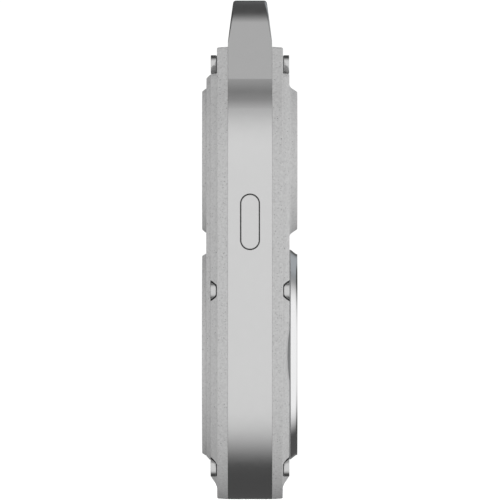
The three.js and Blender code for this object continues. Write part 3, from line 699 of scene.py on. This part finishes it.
def back_plate():
    """The plate behind the rear shell, which joins both rear bosses."""
    profile = rounded([
        (0, PLATEAU_FACE + HAIRLINE), (0.1, PLATEAU_FACE + 0.3, 0.3), (1.0, BACK_PLATE_FACE, 0.25),
        (1.8, BACK_PLATE_FACE),
    ])
    obj = loft("plate", [
        (two_discs(PLATE_UPPER_RADIUS - inset, PLATE_LOWER_RADIUS - inset), depth)
        for inset, depth in profile
    ])
    opening = disc(PLUG_RADIUS + CLEAR, 9, REAR_FACE, 0, BELL_Z, CIRCLE)
    cut(obj, [opening, *notches(9, REAR_FACE)])
    return finish_piece(obj, "fine_back_plate", "housing", "speckled_plastic")


def wall_boss():
    """The upper rear boss."""
    joint = BACK_PLATE_FACE + HAIRLINE
    profile = rounded([
        (0, joint), (WALL_BOSS_RADIUS, joint), (WALL_BOSS_RADIUS - 0.05, BOSS_BASE + 0.15, 0.2),
        (WALL_BOSS_RADIUS - 0.8, REAR_FACE, 0.3), (0, REAR_FACE),
    ], 8.0)
    obj = turned("boss", profile, CAMERA_Z)
    return finish_piece(obj, "fine_wall_boss", "housing", "speckled_plastic")


def battery_cover():
    """The lower rear boss: a plug with bayonet lugs, a seal groove and a coin slot."""
    joint = BACK_PLATE_FACE + HAIRLINE
    inner = PLUG_RADIUS - 1.2
    groove = PLUG_RADIUS - 0.7
    profile = rounded([
        (0, 11.2), (inner, 11.2), (inner, PLUG_END), (PLUG_RADIUS, PLUG_END), (PLUG_RADIUS, 9.3),
        (groove, 9.3), (groove, 10.5), (PLUG_RADIUS, 10.5), (PLUG_RADIUS, joint),
        (COVER_RADIUS, joint), (COVER_RADIUS - 0.05, BOSS_BASE + 0.15, 0.2),
        (COVER_RADIUS - 0.6, REAR_FACE, 0.3), (0, REAR_FACE),
    ], 8.0)
    obj = turned("cover", profile, BELL_Z)
    lugs = []
    for i in range(COVER_LUGS):
        lug = block((-3, PLUG_END, BELL_Z + PLUG_RADIUS - 0.8), (3, 8.4, BELL_Z + PLUG_RADIUS + 1.4))
        lugs.append(turn_about(lug, BELL_Z, 360 / COVER_LUGS * i))
    join(obj, lugs)
    narrow = lying_pill(2.4, 18, BELL_Z)
    wide = lying_pill(3.0, 18.6, BELL_Z)
    slot = loft("coin_slot", [
        (narrow, REAR_FACE - 0.9), (narrow, REAR_FACE - 0.25), (wide, REAR_FACE + 0.05),
    ])
    cut(obj, [slot])
    return finish_piece(obj, "fine_battery_cover", "cover", "speckled_plastic")


def screw(place, side):
    """Pan-head screw with a hexagonal socket."""
    x, z = SCREW_PLACES[place]
    head = -SHELL_FACE - SCREW_HEAD_HEIGHT
    seat = -SHELL_FACE - HEAD_LIFT
    tip = seat + SCREW_LENGTH
    profile = rounded([
        (0, head), (SCREW_HEAD_RADIUS - 0.1, head, 0.1), (SCREW_HEAD_RADIUS, head + 0.1, 0.1),
        (SCREW_HEAD_RADIUS, seat - 0.06, 0.04), (SCREW_HEAD_RADIUS - 0.06, seat),
        (1.25, seat), (1.25, tip - 0.4), (0.9, tip), (0, tip),
    ])
    obj = turned("screw", profile, z, 64, x)
    narrow = circle(0.85, 6, x, z)
    wide = circle(1.05, 6, x, z)
    cut(obj, [loft("socket", [(narrow, head + 0.9), (narrow, head + 0.12), (wide, head - 0.1)])])
    if side == "rear":
        mirror_depth(obj)
    return finish_piece(obj, f"fine_{side}_screw_{place}", "housing", "screw_steel")


def screw_shade_liners(side):
    """Black pieces that paint the shade at each screw: a washer under each head, and a sleeve that lines
    each pocket up to its rim.
    """
    washer = pipe(1.35, SCREW_HEAD_RADIUS - 0.1, -SHELL_FACE, -SHELL_FACE - HEAD_LIFT)
    sleeve = pipe(SCREW_HEAD_RADIUS + 0.03, POCKET_RADIUS - HAIRLINE, -SHELL_FACE, -PLATEAU_FACE - 1)
    washers, sleeves = [], []
    for x, z in SCREW_PLACES.values():
        washers.append(turned("washer", washer, z, SMALL_CIRCLE, x))
        sleeves.append(turned("sleeve", sleeve, z, SMALL_CIRCLE * 2, x))
    obj = join(sleeves[0], sleeves[1:])
    combine(obj, [shell_surface()], "INTERSECT")
    cut(obj, [block((-6, -20, SHOULDER_Z), (6, 20, BAND_TOP))])
    join(obj, washers)
    if side == "rear":
        mirror_depth(obj)
    return finish_piece(obj, f"{side}_screw_shade_liners", "housing", "seal_rubber", nodes=())


def trim_ring_shade_fill():
    """Grey piece that paints the shade in the gap between the trim ring and the plateau, with a rim down
    into the scoops.
    """
    inner = RING_BORE_RADIUS + RING_SKIRT + CLEAR
    step = RING_BASE_RADIUS - 0.28
    outer = RING_BASE_RADIUS - 0.04
    face = -PLATEAU_FACE - 0.01
    underside = -PLATEAU_FACE - RING_GAP
    profile = [
        (inner, face), (step, face), (step, face + 0.5), (outer, face + 0.5), (outer, underside),
        (inner, underside), (inner, face),
    ]
    obj = turned("gasket", profile, BELL_Z)
    return finish_piece(obj, "trim_ring_shade_fill", "housing", "inner_plastic", nodes=())


def trim_ring():
    """Polished ring with a short skirt that sits in the front shell."""
    underside = -PLATEAU_FACE - RING_GAP
    bore, skirt = RING_BORE_RADIUS, RING_BORE_RADIUS + RING_SKIRT
    profile = rounded([
        (bore, -9.0), (bore, -8.2), (skirt, -8.2), (skirt, underside),
        (RING_BASE_RADIUS - 0.15, underside), (RING_BASE_RADIUS, underside - 0.15, 0.1),
        (RING_SIDE_RADIUS, -FRONT_FACE + 0.4, 0.3), (RING_FACE_RADIUS, -FRONT_FACE, 0.05),
        (bore + 0.45, -FRONT_FACE, 0.3), (bore, -FRONT_FACE + 0.45, 0.3), (bore, -9.0),
    ], 8.0)
    obj = turned("ring", profile, BELL_Z, RING_CIRCLE)
    return finish_piece(obj, "fine_trim_ring", "housing", "polished_steel")


def light_ring():
    """Diffuser between the trim ring and the bell button."""
    profile = rounded([
        (19.1, -11.4), (19.1, -10.6), (20.6, -10.6), (20.6, -12.2, 0.15), (19.1, -12.2, 0.15),
        (19.1, -11.4),
    ])
    return finish_piece(turned("light", profile, BELL_Z), "fine_light_ring", "housing", "diffuser")


def bell_button():
    """Hollow cap with a shallow dish in its face and a stem behind it."""
    rim = BELL_RADIUS - 1.2
    shares = [i / 12 for i in range(13)]
    dish = [(BELL_RADIUS * 0.9 * t, -BUTTON_FACE + BUTTON_DISH * (1 - t ** 2) ** 2) for t in shares]
    edge = rounded([
        dish[-1], (BELL_RADIUS, -BUTTON_FACE, 0.45), (BELL_RADIUS, -9.4), (rim, -9.4), (rim, -10.9),
        (3.0, -10.9), (3.0, -5.3), (0, -5.3),
    ])[1:]
    obj = turned("button", dish + edge, BELL_Z)
    return finish_piece(obj, "fine_bell_button", "bell", "button_plastic")


def side_button():
    """Pill button with a flange behind the band's wall."""
    face, inner = -BODY_RADIUS, -BODY_RADIUS + BAND_WALL
    width, length = SIDE_BUTTON_WIDTH, SIDE_BUTTON_LENGTH
    profile = rounded([(0.6, face), (0, face, 0.4), (0, inner + SIDE_BUTTON_HEEL)])
    obj = side_loft("side_button", [
        (pill(width - 2 * inset, length - 2 * inset, SIDE_BUTTON_Z), x) for inset, x in profile
    ])
    flange = side_loft("flange", [
        (pill(width + 1.8, length + 1.8, SIDE_BUTTON_Z), inner + CLEAR),
        (pill(width + 1.8, length + 1.8, SIDE_BUTTON_Z), inner + 0.88),
    ])
    join(obj, [flange])
    return finish_piece(obj, "fine_side_button", "side_key", "satin_aluminium")


def side_button_shade_ring():
    """Black ring round the side button, just under the band's surface, that paints the shade in the
    button's gap.
    """
    start = -BODY_RADIUS + 0.7
    width, length = SIDE_BUTTON_WIDTH, SIDE_BUTTON_LENGTH
    wider = 2 * SIDE_BUTTON_GAP - HAIRLINE
    outer = pill(width + wider, length + wider, SIDE_BUTTON_Z)
    inner = pill(width + 0.1, length + 0.1, SIDE_BUTTON_Z)
    obj = side_loft("seal", [(outer, start), (outer, start + 0.6)])
    cut(obj, [side_loft("shade_ring_hole", [(inner, start - 1), (inner, start + 2)])])
    return finish_piece(obj, "side_button_shade_ring", "housing", "seal_rubber", nodes=())


def dome(radius, height, base):
    """The profile of a rounded front, from its tip out to its base."""
    angles = [math.radians(a) for a in range(0, 91, 9)]
    return [(radius * math.sin(a), base - height * math.cos(a)) for a in angles]


def camera():
    """The camera's window, the mask behind it, the lens in its barrel and two infrared lamps."""
    radius, back = WINDOW_RADIUS, -WINDOW_BACK
    window = rounded([
        (0, back), (radius, back, 0.1), (radius, -WINDOW_FACE, 0.2), (0, -WINDOW_FACE),
    ], 8.0)
    finish_piece(turned("window", window, CAMERA_Z), "fine_camera_window", "housing", "dark_glass")
    mask = disc(12.8, -11.0, -10.2, 0, CAMERA_Z, CIRCLE)
    holes = [disc(5.2, -12, -9, 0, CAMERA_Z, 96)]
    holes += [disc(1.9, -12, -9, x, CAMERA_Z) for x in (-INFRARED_X, INFRARED_X)]
    cut(mask, holes)
    finish_piece(mask, "fine_camera_mask", "housing", "black_plastic")
    barrel = rounded([
        (3.9, -9.2), (3.9, -10.9), (4.9, -10.9, 0.15), (4.9, -7.6), (4.5, -7.6), (4.5, -4.9),
        (2.6, -4.9), (2.6, -9.2), (3.9, -9.2),
    ])
    finish_piece(turned("barrel", barrel, CAMERA_Z, 96), "fine_lens_barrel", "housing", "black_plastic")
    lens = dome(3.6, 1.25, -9.5) + [(3.6, -9.35), (0, -9.35)]
    finish_piece(turned("lens", lens, CAMERA_Z, 96), "fine_front_lens", "housing", "dark_glass")
    bulb = dome(1.5, 1.0, -9.0) + [(1.5, -3.75), (0, -3.75)]
    for side, x in (("left", -INFRARED_X), ("right", INFRARED_X)):
        obj = turned("infrared_lamp", bulb, CAMERA_Z, SMALL_CIRCLE, x)
        finish_piece(obj, f"fine_infrared_lamp_{side}", "housing", "dark_glass")


# ---------- Materials ----------

def new_material(name):
    """A new material with its node tree, its shader and the place on the object."""
    made = bpy.data.materials.new(name)
    made.use_nodes = True
    tree = made.node_tree
    shader = next(n for n in tree.nodes if n.type == "BSDF_PRINCIPLED")
    place = tree.nodes.new("ShaderNodeTexCoord")
    return made, tree, shader, place.outputs["Object"]


def add_node(tree, kind, inputs=None, **settings):
    """A new node with its settings and with its inputs linked or set."""
    node = tree.nodes.new(kind)
    for key, value in settings.items():
        setattr(node, key, value)
    for key, value in (inputs or {}).items():
        if isinstance(value, bpy.types.NodeSocket):
            tree.links.new(value, node.inputs[key])
        else:
            node.inputs[key].default_value = value
    return node


def noise(tree, place, scale, detail=3.0, roughness=0.55):
    node = add_node(tree, "ShaderNodeTexNoise", {
        "Vector": place, "Scale": scale, "Detail": detail, "Roughness": roughness,
    })
    return node.outputs["Fac"]


def calculate(tree, operation, first, second):
    node = add_node(tree, "ShaderNodeMath", operation=operation)
    tree.links.new(first, node.inputs[0])
    tree.links.new(second, node.inputs[1])
    return node.outputs[0]


def spread(tree, value, low, high, to_low, to_high, smooth=False):
    """Maps a value from one range to another, and holds it at the ends."""
    node = add_node(tree, "ShaderNodeMapRange", {
        "Value": value, "From Min": low, "From Max": high, "To Min": to_low, "To Max": to_high,
    })
    node.interpolation_type = "SMOOTHSTEP" if smooth else "LINEAR"
    return node.outputs["Result"]


def mix_colour(tree, share, first, second):
    """Mixes two colours, each a socket or three numbers."""
    node = tree.nodes.new("ShaderNodeMix")
    node.data_type = "RGBA"
    tree.links.new(share, node.inputs["Factor"])
    for key, value in ((6, first), (7, second)):
        if isinstance(value, bpy.types.NodeSocket):
            tree.links.new(value, node.inputs[key])
        else:
            node.inputs[key].default_value = (*value, 1)
    return node.outputs[2]


def add_bump(tree, shader, height, strength, distance):
    node = add_node(tree, "ShaderNodeBump", {
        "Height": height, "Strength": strength, "Distance": distance,
    })
    tree.links.new(node.outputs["Normal"], shader.inputs["Normal"])


def metal(name, colour, roughness, grain, grain_strength, specks=0.03):
    """Metal with a fine grain, slightly uneven in tone and gloss."""
    made, tree, shader, place = new_material(name)
    shader.inputs["Metallic"].default_value = 1.0
    tone = noise(tree, place, 60.0, 2.0)
    darker = tuple(c * (1 - specks) for c in colour)
    tree.links.new(mix_colour(tree, tone, darker, colour), shader.inputs["Base Color"])
    gloss = spread(tree, noise(tree, place, 400.0, 4.0), 0.3, 0.7, roughness * 0.88, roughness * 1.12)
    tree.links.new(gloss, shader.inputs["Roughness"])
    add_bump(tree, shader, noise(tree, place, grain, 2.0), grain_strength, 0.00002)
    return made


def speckled_plastic():
    """Light grey moulded plastic, mottled, with fine darker specks of uneven shape."""
    made, tree, shader, place = new_material("speckled_plastic")
    base, light, dark, deep = (0.60,) * 3, (0.71,) * 3, (0.45,) * 3, (0.30,) * 3
    mottle = spread(tree, noise(tree, place, 1500.0, 4.0, 0.65), 0.36, 0.64, 0.0, 1.0)
    colour = mix_colour(tree, mottle, base, light)
    warp = add_node(tree, "ShaderNodeTexNoise", {"Vector": place, "Scale": 2500.0, "Detail": 2.0})
    shift = add_node(tree, "ShaderNodeVectorMath", {"Vector": warp.outputs["Color"]}, operation="SCALE")
    shift.inputs["Scale"].default_value = 0.0005
    bent = add_node(tree, "ShaderNodeVectorMath", {"Vector": place}, operation="ADD")
    tree.links.new(shift.outputs[0], bent.inputs[1])
    for scale, radius, share, tint in ((1900.0, 0.34, 0.35, dark), (1300.0, 0.24, 0.12, deep)):
        cells = add_node(tree, "ShaderNodeTexVoronoi", {"Vector": bent.outputs[0], "Scale": scale})
        inside = spread(tree, cells.outputs["Distance"], radius * 0.5, radius, 1.0, 0.0, True)
        pick = add_node(tree, "ShaderNodeSeparateColor", {"Color": cells.outputs["Color"]}).outputs["Red"]
        chosen = spread(tree, pick, share - 0.02, share + 0.02, 1.0, 0.0)
        speck = calculate(tree, "MULTIPLY", inside, chosen)
        colour = mix_colour(tree, speck, colour, tint)
    tree.links.new(colour, shader.inputs["Base Color"])
    tree.links.new(spread(tree, mottle, 0.0, 1.0, 0.50, 0.60), shader.inputs["Roughness"])
    add_bump(tree, shader, noise(tree, place, 2600.0, 2.0), 0.25, 0.00003)
    return made


def plastic(name, colour, roughness, texture=1500.0, strength=0.15, shine=0.5):
    """Moulded plastic with a faint texture and slightly uneven tone and gloss."""
    made, tree, shader, place = new_material(name)
    tone = noise(tree, place, 150.0, 3.0)
    darker = tuple(c * 0.93 for c in colour)
    tree.links.new(mix_colour(tree, tone, darker, colour), shader.inputs["Base Color"])
    gloss = spread(tree, noise(tree, place, 500.0, 3.0), 0.3, 0.7, roughness * 0.9, roughness * 1.1)
    tree.links.new(gloss, shader.inputs["Roughness"])
    add_bump(tree, shader, noise(tree, place, texture, 2.0), strength, 0.00002)
    shader.inputs["Specular IOR Level"].default_value = shine
    return made


def dark_glass():
    """Black tinted glass that shows what is behind it faintly, with slight smudges."""
    made, tree, shader, place = new_material("dark_glass")
    smudge = spread(tree, noise(tree, place, 120.0, 4.0), 0.4, 0.7, 0.03, 0.08)
    tree.links.new(smudge, shader.inputs["Roughness"])
    tint = mix_colour(tree, noise(tree, place, 40.0, 2.0), (0.004, 0.005, 0.007), (0.007, 0.008, 0.011))
    tree.links.new(tint, shader.inputs["Base Color"])
    shader.inputs["Alpha"].default_value = 0.45
    shader.inputs["IOR"].default_value = 1.45
    return made


def diffuser():
    """Milky plastic that lets light in a little."""
    made, tree, shader, place = new_material("diffuser")
    cloud = noise(tree, place, 300.0, 3.0)
    colour = mix_colour(tree, cloud, (0.78, 0.79, 0.8), (0.86, 0.87, 0.88))
    tree.links.new(colour, shader.inputs["Base Color"])
    tree.links.new(spread(tree, cloud, 0.3, 0.7, 0.35, 0.45), shader.inputs["Roughness"])
    shader.inputs["Subsurface Weight"].default_value = 0.3
    shader.inputs["Subsurface Radius"].default_value = (0.001, 0.001, 0.001)
    return made


def circuit_board():
    """Green solder mask with the pattern of tracks under it."""
    made, tree, shader, place = new_material("board")
    tracks = add_node(tree, "ShaderNodeTexBrick", {
        "Vector": place, "Scale": 260.0, "Mortar Size": 0.03, "Color1": (0.02, 0.11, 0.05, 1),
        "Color2": (0.025, 0.14, 0.06, 1), "Mortar": (0.06, 0.28, 0.12, 1),
    })
    tree.links.new(tracks.outputs["Color"], shader.inputs["Base Color"])
    gloss = spread(tree, noise(tree, place, 700.0), 0.3, 0.7, 0.3, 0.45)
    tree.links.new(gloss, shader.inputs["Roughness"])
    add_bump(tree, shader, tracks.outputs["Fac"], 0.3, 0.00003)
    return made


materials = {
    "satin_aluminium": metal("satin_aluminium", (0.705, 0.705, 0.705), 0.24, 5200.0, 0.05, 0.015),
    "polished_steel": metal("polished_steel", (0.86, 0.86, 0.865), 0.10, 3000.0, 0.02),
    "screw_steel": metal("screw_steel", (0.66, 0.66, 0.66), 0.14, 4000.0, 0.05),
    "spring_steel": metal("spring_steel", (0.55, 0.56, 0.57), 0.25, 3000.0, 0.1),
    "gold_plate": metal("gold_plate", (0.83, 0.62, 0.27), 0.22, 2500.0, 0.08),
    "speckled_plastic": speckled_plastic(),
    "button_plastic": plastic("button_plastic", (0.74, 0.745, 0.75), 0.3, 2600.0, 0.08),
    # This grey also colours the filler that paints the shade under the trim ring.
    "inner_plastic": plastic("inner_plastic", (0.3, 0.305, 0.31), 0.5),
    "black_plastic": plastic("black_plastic", (0.012, 0.012, 0.014), 0.5, 800.0, 0.03, 0.2),
    # This black also colours the pieces that paint the shade at the screws and the side button.
    "seal_rubber": plastic("seal_rubber", (0.018, 0.018, 0.02), 0.75, 900.0, 0.3),
    "cell_wrap": plastic("cell_wrap", (0.02, 0.06, 0.22), 0.35, 400.0, 0.25),
    "dark_glass": dark_glass(),
    "diffuser": diffuser(),
    "board": circuit_board(),
}


def dress_cad_nodes():
    """Gives every CAD node its slot's material; most of those that stay are inside the housing."""
    slot_of = {part["node"]: part["material_slot"] for part in frame["record"]["subparts"]}
    for node, obj in frame["nodes"].items():
        obj.data.materials.clear()
        obj.data.materials.append(materials[slot_of[node]])


# ---------- Studio ----------

def studio_camera():
    """A long lens looks along +X, level with the middle of the object."""
    low, high = cad_box
    data = bpy.data.cameras.new("camera")
    data.type = "PERSP"
    data.sensor_width = SENSOR_WIDTH
    data.lens = LENS
    distance = (high.z - low.z) * VIEW_MARGIN * LENS / SENSOR_WIDTH
    obj = bpy.data.objects.new("camera", data)
    obj.location = (-distance, MID_Y, (low.z + high.z) / 2)
    obj.rotation_euler = (math.radians(90), 0, math.radians(-90))
    data.clip_start = 0.1
    data.clip_end = 50.0
    bpy.context.scene.collection.objects.link(obj)
    bpy.context.scene.camera = obj


def world_light():
    """A large soft light on the -X side, weaker ones at the front, the back and the far side.

    A faint cool light from the far side, high at the front, adds to them. The camera itself sees
    plain white.
    """
    world = bpy.data.worlds.new("studio")
    bpy.context.scene.world = world
    world.use_nodes = True
    tree = world.node_tree
    direction = add_node(tree, "ShaderNodeTexCoord").outputs["Generated"]
    parts = add_node(tree, "ShaderNodeSeparateXYZ", {"Vector": direction})
    x, y, z = (parts.outputs[k] for k in ("X", "Y", "Z"))
    main = spread(tree, x, *MAIN_EDGE, DARK, MAIN_LIGHT, True)
    front = spread(tree, y, *FRONT_EDGE, DARK, FRONT_LIGHT, True)
    rear = spread(tree, y, *REAR_EDGE, DARK, REAR_LIGHT, True)
    far = spread(tree, x, *FAR_EDGE, 0.0, FAR_LIGHT, True)
    for edge in (FAR_TOP_EDGE, FAR_BOTTOM_EDGE):
        far = calculate(tree, "MULTIPLY", far, spread(tree, z, *edge, 0.0, 1.0, True))
    total = main
    for other in (front, rear, far):
        total = calculate(tree, "MAXIMUM", total, other)
    toward = add_node(tree, "ShaderNodeVectorMath", {"Vector": direction}, operation="DOT_PRODUCT")
    toward.inputs[1].default_value = Vector(COOL_DIRECTION).normalized()
    cool = spread(tree, toward.outputs["Value"], *COOL_EDGE, 0.0, COOL_LIGHT, True)
    background = next(n for n in tree.nodes if n.type == "BACKGROUND")
    tree.links.new(total, background.inputs["Strength"])
    background.inputs["Color"].default_value = (1, 1, 1, 1)
    cool_background = add_node(tree, "ShaderNodeBackground", {
        "Color": (0.88, 0.94, 1.0, 1), "Strength": cool,
    })
    lights = add_node(tree, "ShaderNodeAddShader")
    tree.links.new(background.outputs[0], lights.inputs[0])
    tree.links.new(cool_background.outputs[0], lights.inputs[1])
    white = add_node(tree, "ShaderNodeBackground", {"Color": (1, 1, 1, 1), "Strength": BACKDROP_LIGHT})
    seen = add_node(tree, "ShaderNodeLightPath").outputs["Is Camera Ray"]
    both = add_node(tree, "ShaderNodeMixShader")
    tree.links.new(seen, both.inputs[0])
    tree.links.new(lights.outputs[0], both.inputs[1])
    tree.links.new(white.outputs[0], both.inputs[2])
    output = next(n for n in tree.nodes if n.type == "OUTPUT_WORLD")
    tree.links.new(both.outputs[0], output.inputs["Surface"])


def lamp(name, place, size, power, floor, floor_state):
    """A round soft lamp aimed at the object and left out of reflections.

    The floor state says whether it lights only the floor (INCLUDE) or all but the floor (EXCLUDE).
    """
    data = bpy.data.lights.new(name, "AREA")
    data.shape = "DISK"
    data.size = size
    data.energy = power
    obj = bpy.data.objects.new(name, data)
    obj.location = place
    obj.rotation_euler = Vector(place).to_track_quat("Z", "Y").to_euler()
    obj.visible_glossy = False
    bpy.context.scene.collection.objects.link(obj)
    receivers = bpy.data.collections.new(name + "_receivers")
    receivers.objects.link(floor)
    receivers.collection_objects[0].light_linking.link_state = floor_state
    obj.light_linking.receiver_collection = receivers


def studio_floor():
    """A pale floor under the object, lit by a lamp of its own, so that it stays out of reflections."""
    low = cad_box[0]
    mesh = bpy.data.meshes.new("floor")
    near, far, side, level = -0.9, 0.35, 0.9, low.z - MM
    corners = [(near, -side, level), (far, -side, level), (far, side, level), (near, side, level)]
    mesh.from_pydata(corners, [], [(0, 1, 2, 3)])
    floor = bpy.data.objects.new("floor", mesh)
    bpy.context.scene.collection.objects.link(floor)
    made, tree, shader, place = new_material("floor")
    colour = mix_colour(tree, noise(tree, place, 6.0, 2.0), (0.86,) * 3, (0.88,) * 3)
    tree.links.new(colour, shader.inputs["Base Color"])
    shader.inputs["Roughness"].default_value = 0.8
    shader.inputs["Specular IOR Level"].default_value = 0.1
    mesh.materials.append(made)
    floor.visible_glossy = False
    floor.visible_diffuse = False
    floor.visible_transmission = False
    lamp("floor_lamp", (0.1, 0.0, 1.4), 1.6, FLOOR_POWER, floor, "INCLUDE")
    lamp("far_fill", (1.2, 0.0, 0.35), 1.0, FAR_FILL, floor, "EXCLUDE")
    lamp("rear_fill", (0.3, 1.2, 0.35), 1.0, REAR_FILL, floor, "EXCLUDE")
    lamp("front_fill", (0.3, -1.2, 0.35), 1.0, FRONT_FILL, floor, "EXCLUDE")


# ---------- Building it all ----------

studio_camera()
world_light()
studio_floor()
dress_cad_nodes()

band()
front_shell()
rear_shell()
back_plate()
wall_boss()
battery_cover()
for place_name in SCREW_PLACES:
    for face in ("front", "rear"):
        screw(place_name, face)
# Black washers and sleeves that paint the shade at the screws' seats and pockets.
screw_shade_liners("front")
screw_shade_liners("rear")
trim_ring()
# A grey filler that paints the shade under the trim ring.
trim_ring_shade_fill()
light_ring()
bell_button()
side_button()
# A black ring that paints the shade in the side button's gap.
side_button_shade_ring()
sound_mesh()
camera()

bpy.context.scene.view_settings.view_transform = "Standard"
